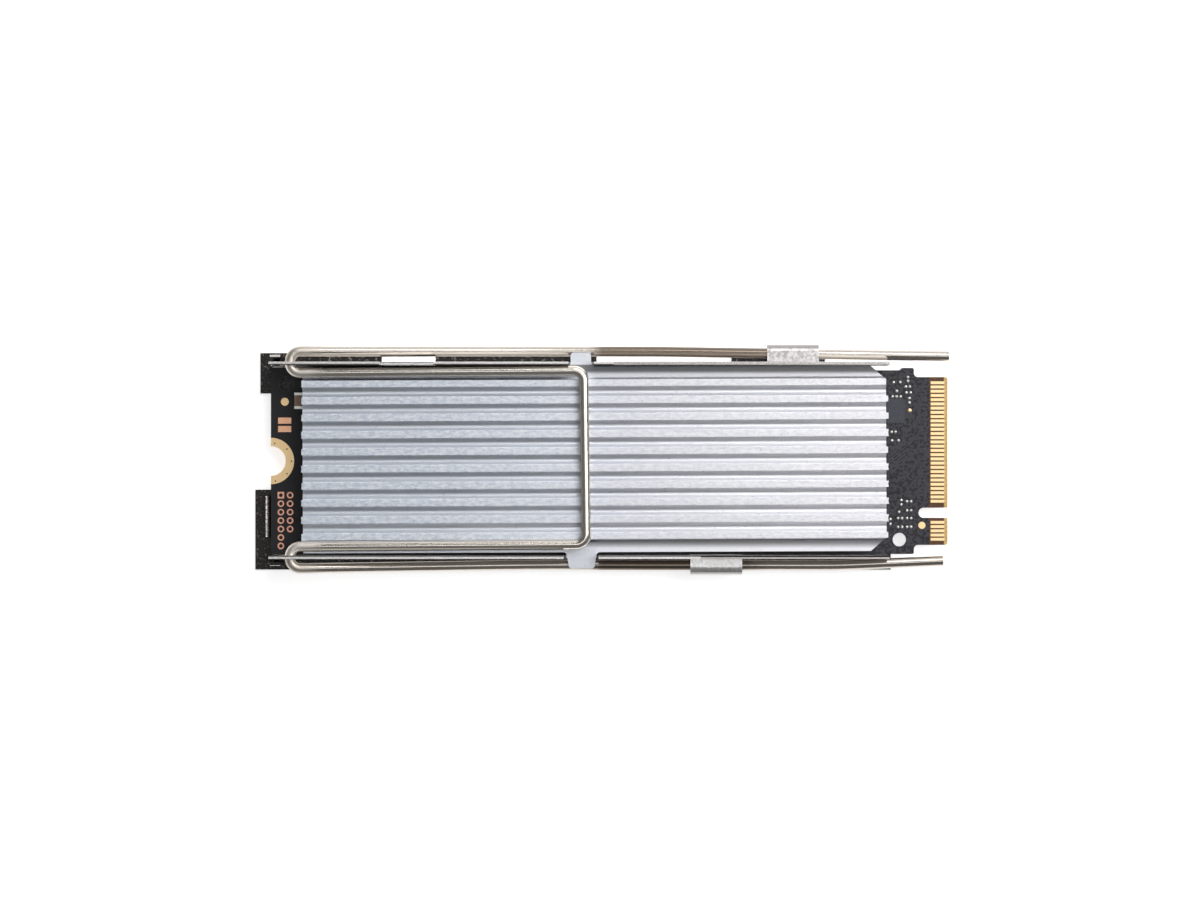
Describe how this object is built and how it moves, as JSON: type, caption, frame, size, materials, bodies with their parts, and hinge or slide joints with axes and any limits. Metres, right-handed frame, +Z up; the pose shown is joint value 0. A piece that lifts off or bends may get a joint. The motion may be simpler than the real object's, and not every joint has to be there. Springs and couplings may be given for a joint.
{
  "type": "nvme ssd",
  "caption": "Solid-state drive board with gold edge contacts, held in a folded metal channel under a ribbed heatsink by a swinging spring wire clip.",
  "frame": {"origin": "under the middle of the circuit board, on the underside of the insulating film", "axes": "+X along the board towards its edge contacts, +Z up from the film to the heatsink's fins"},
  "size_m": [0.0821, 0.0271, 0.0073],
  "materials": {
    "black_film": "glossy, scuffed",
    "plated_sheet": "bright plated",
    "thermal_pad": "soft matt",
    "solder_mask": "satin",
    "gold_plating": "polished",
    "bare_copper": "satin",
    "chip_resin": "matt",
    "ferrite": "matt",
    "capacitor_ceramic": "satin",
    "tinned_ends": "dull tin",
    "extruded_aluminium": "brushed",
    "spring_wire": "bright drawn"
  },
  "bodies": {
    "base": {"insulating_film": "black_film", "base_channel": "plated_sheet", "lower_thermal_pad": "thermal_pad", "circuit_board": "solder_mask", "top_contacts": "gold_plating", "bottom_contacts": "gold_plating", "screw_rings": "gold_plating", "fiducial_marks": "gold_plating", "test_pads": "bare_copper", "header_pads": "bare_copper", "controller_chip": "chip_resin", "cache_chip": "chip_resin", "flash_chip_1": "chip_resin", "flash_chip_2": "chip_resin", "power_chip": "chip_resin", "inductors": "ferrite", "small_capacitors": "capacitor_ceramic", "resistors": "chip_resin", "large_capacitor_body": "capacitor_ceramic", "large_capacitor_ends": "tinned_ends", "upper_thermal_pad": "thermal_pad", "heatsink": "extruded_aluminium"},
    "clip": {"wire_clip": "spring_wire"}
  },
  "joints": [
    {"name": "clip_swing", "type": "hinge", "parent": "base", "child": "clip", "pos_m": [-0.03745, 0, 0.0062], "axis": [0, -1, 0], "range_deg": [0, 120]}
  ]
}
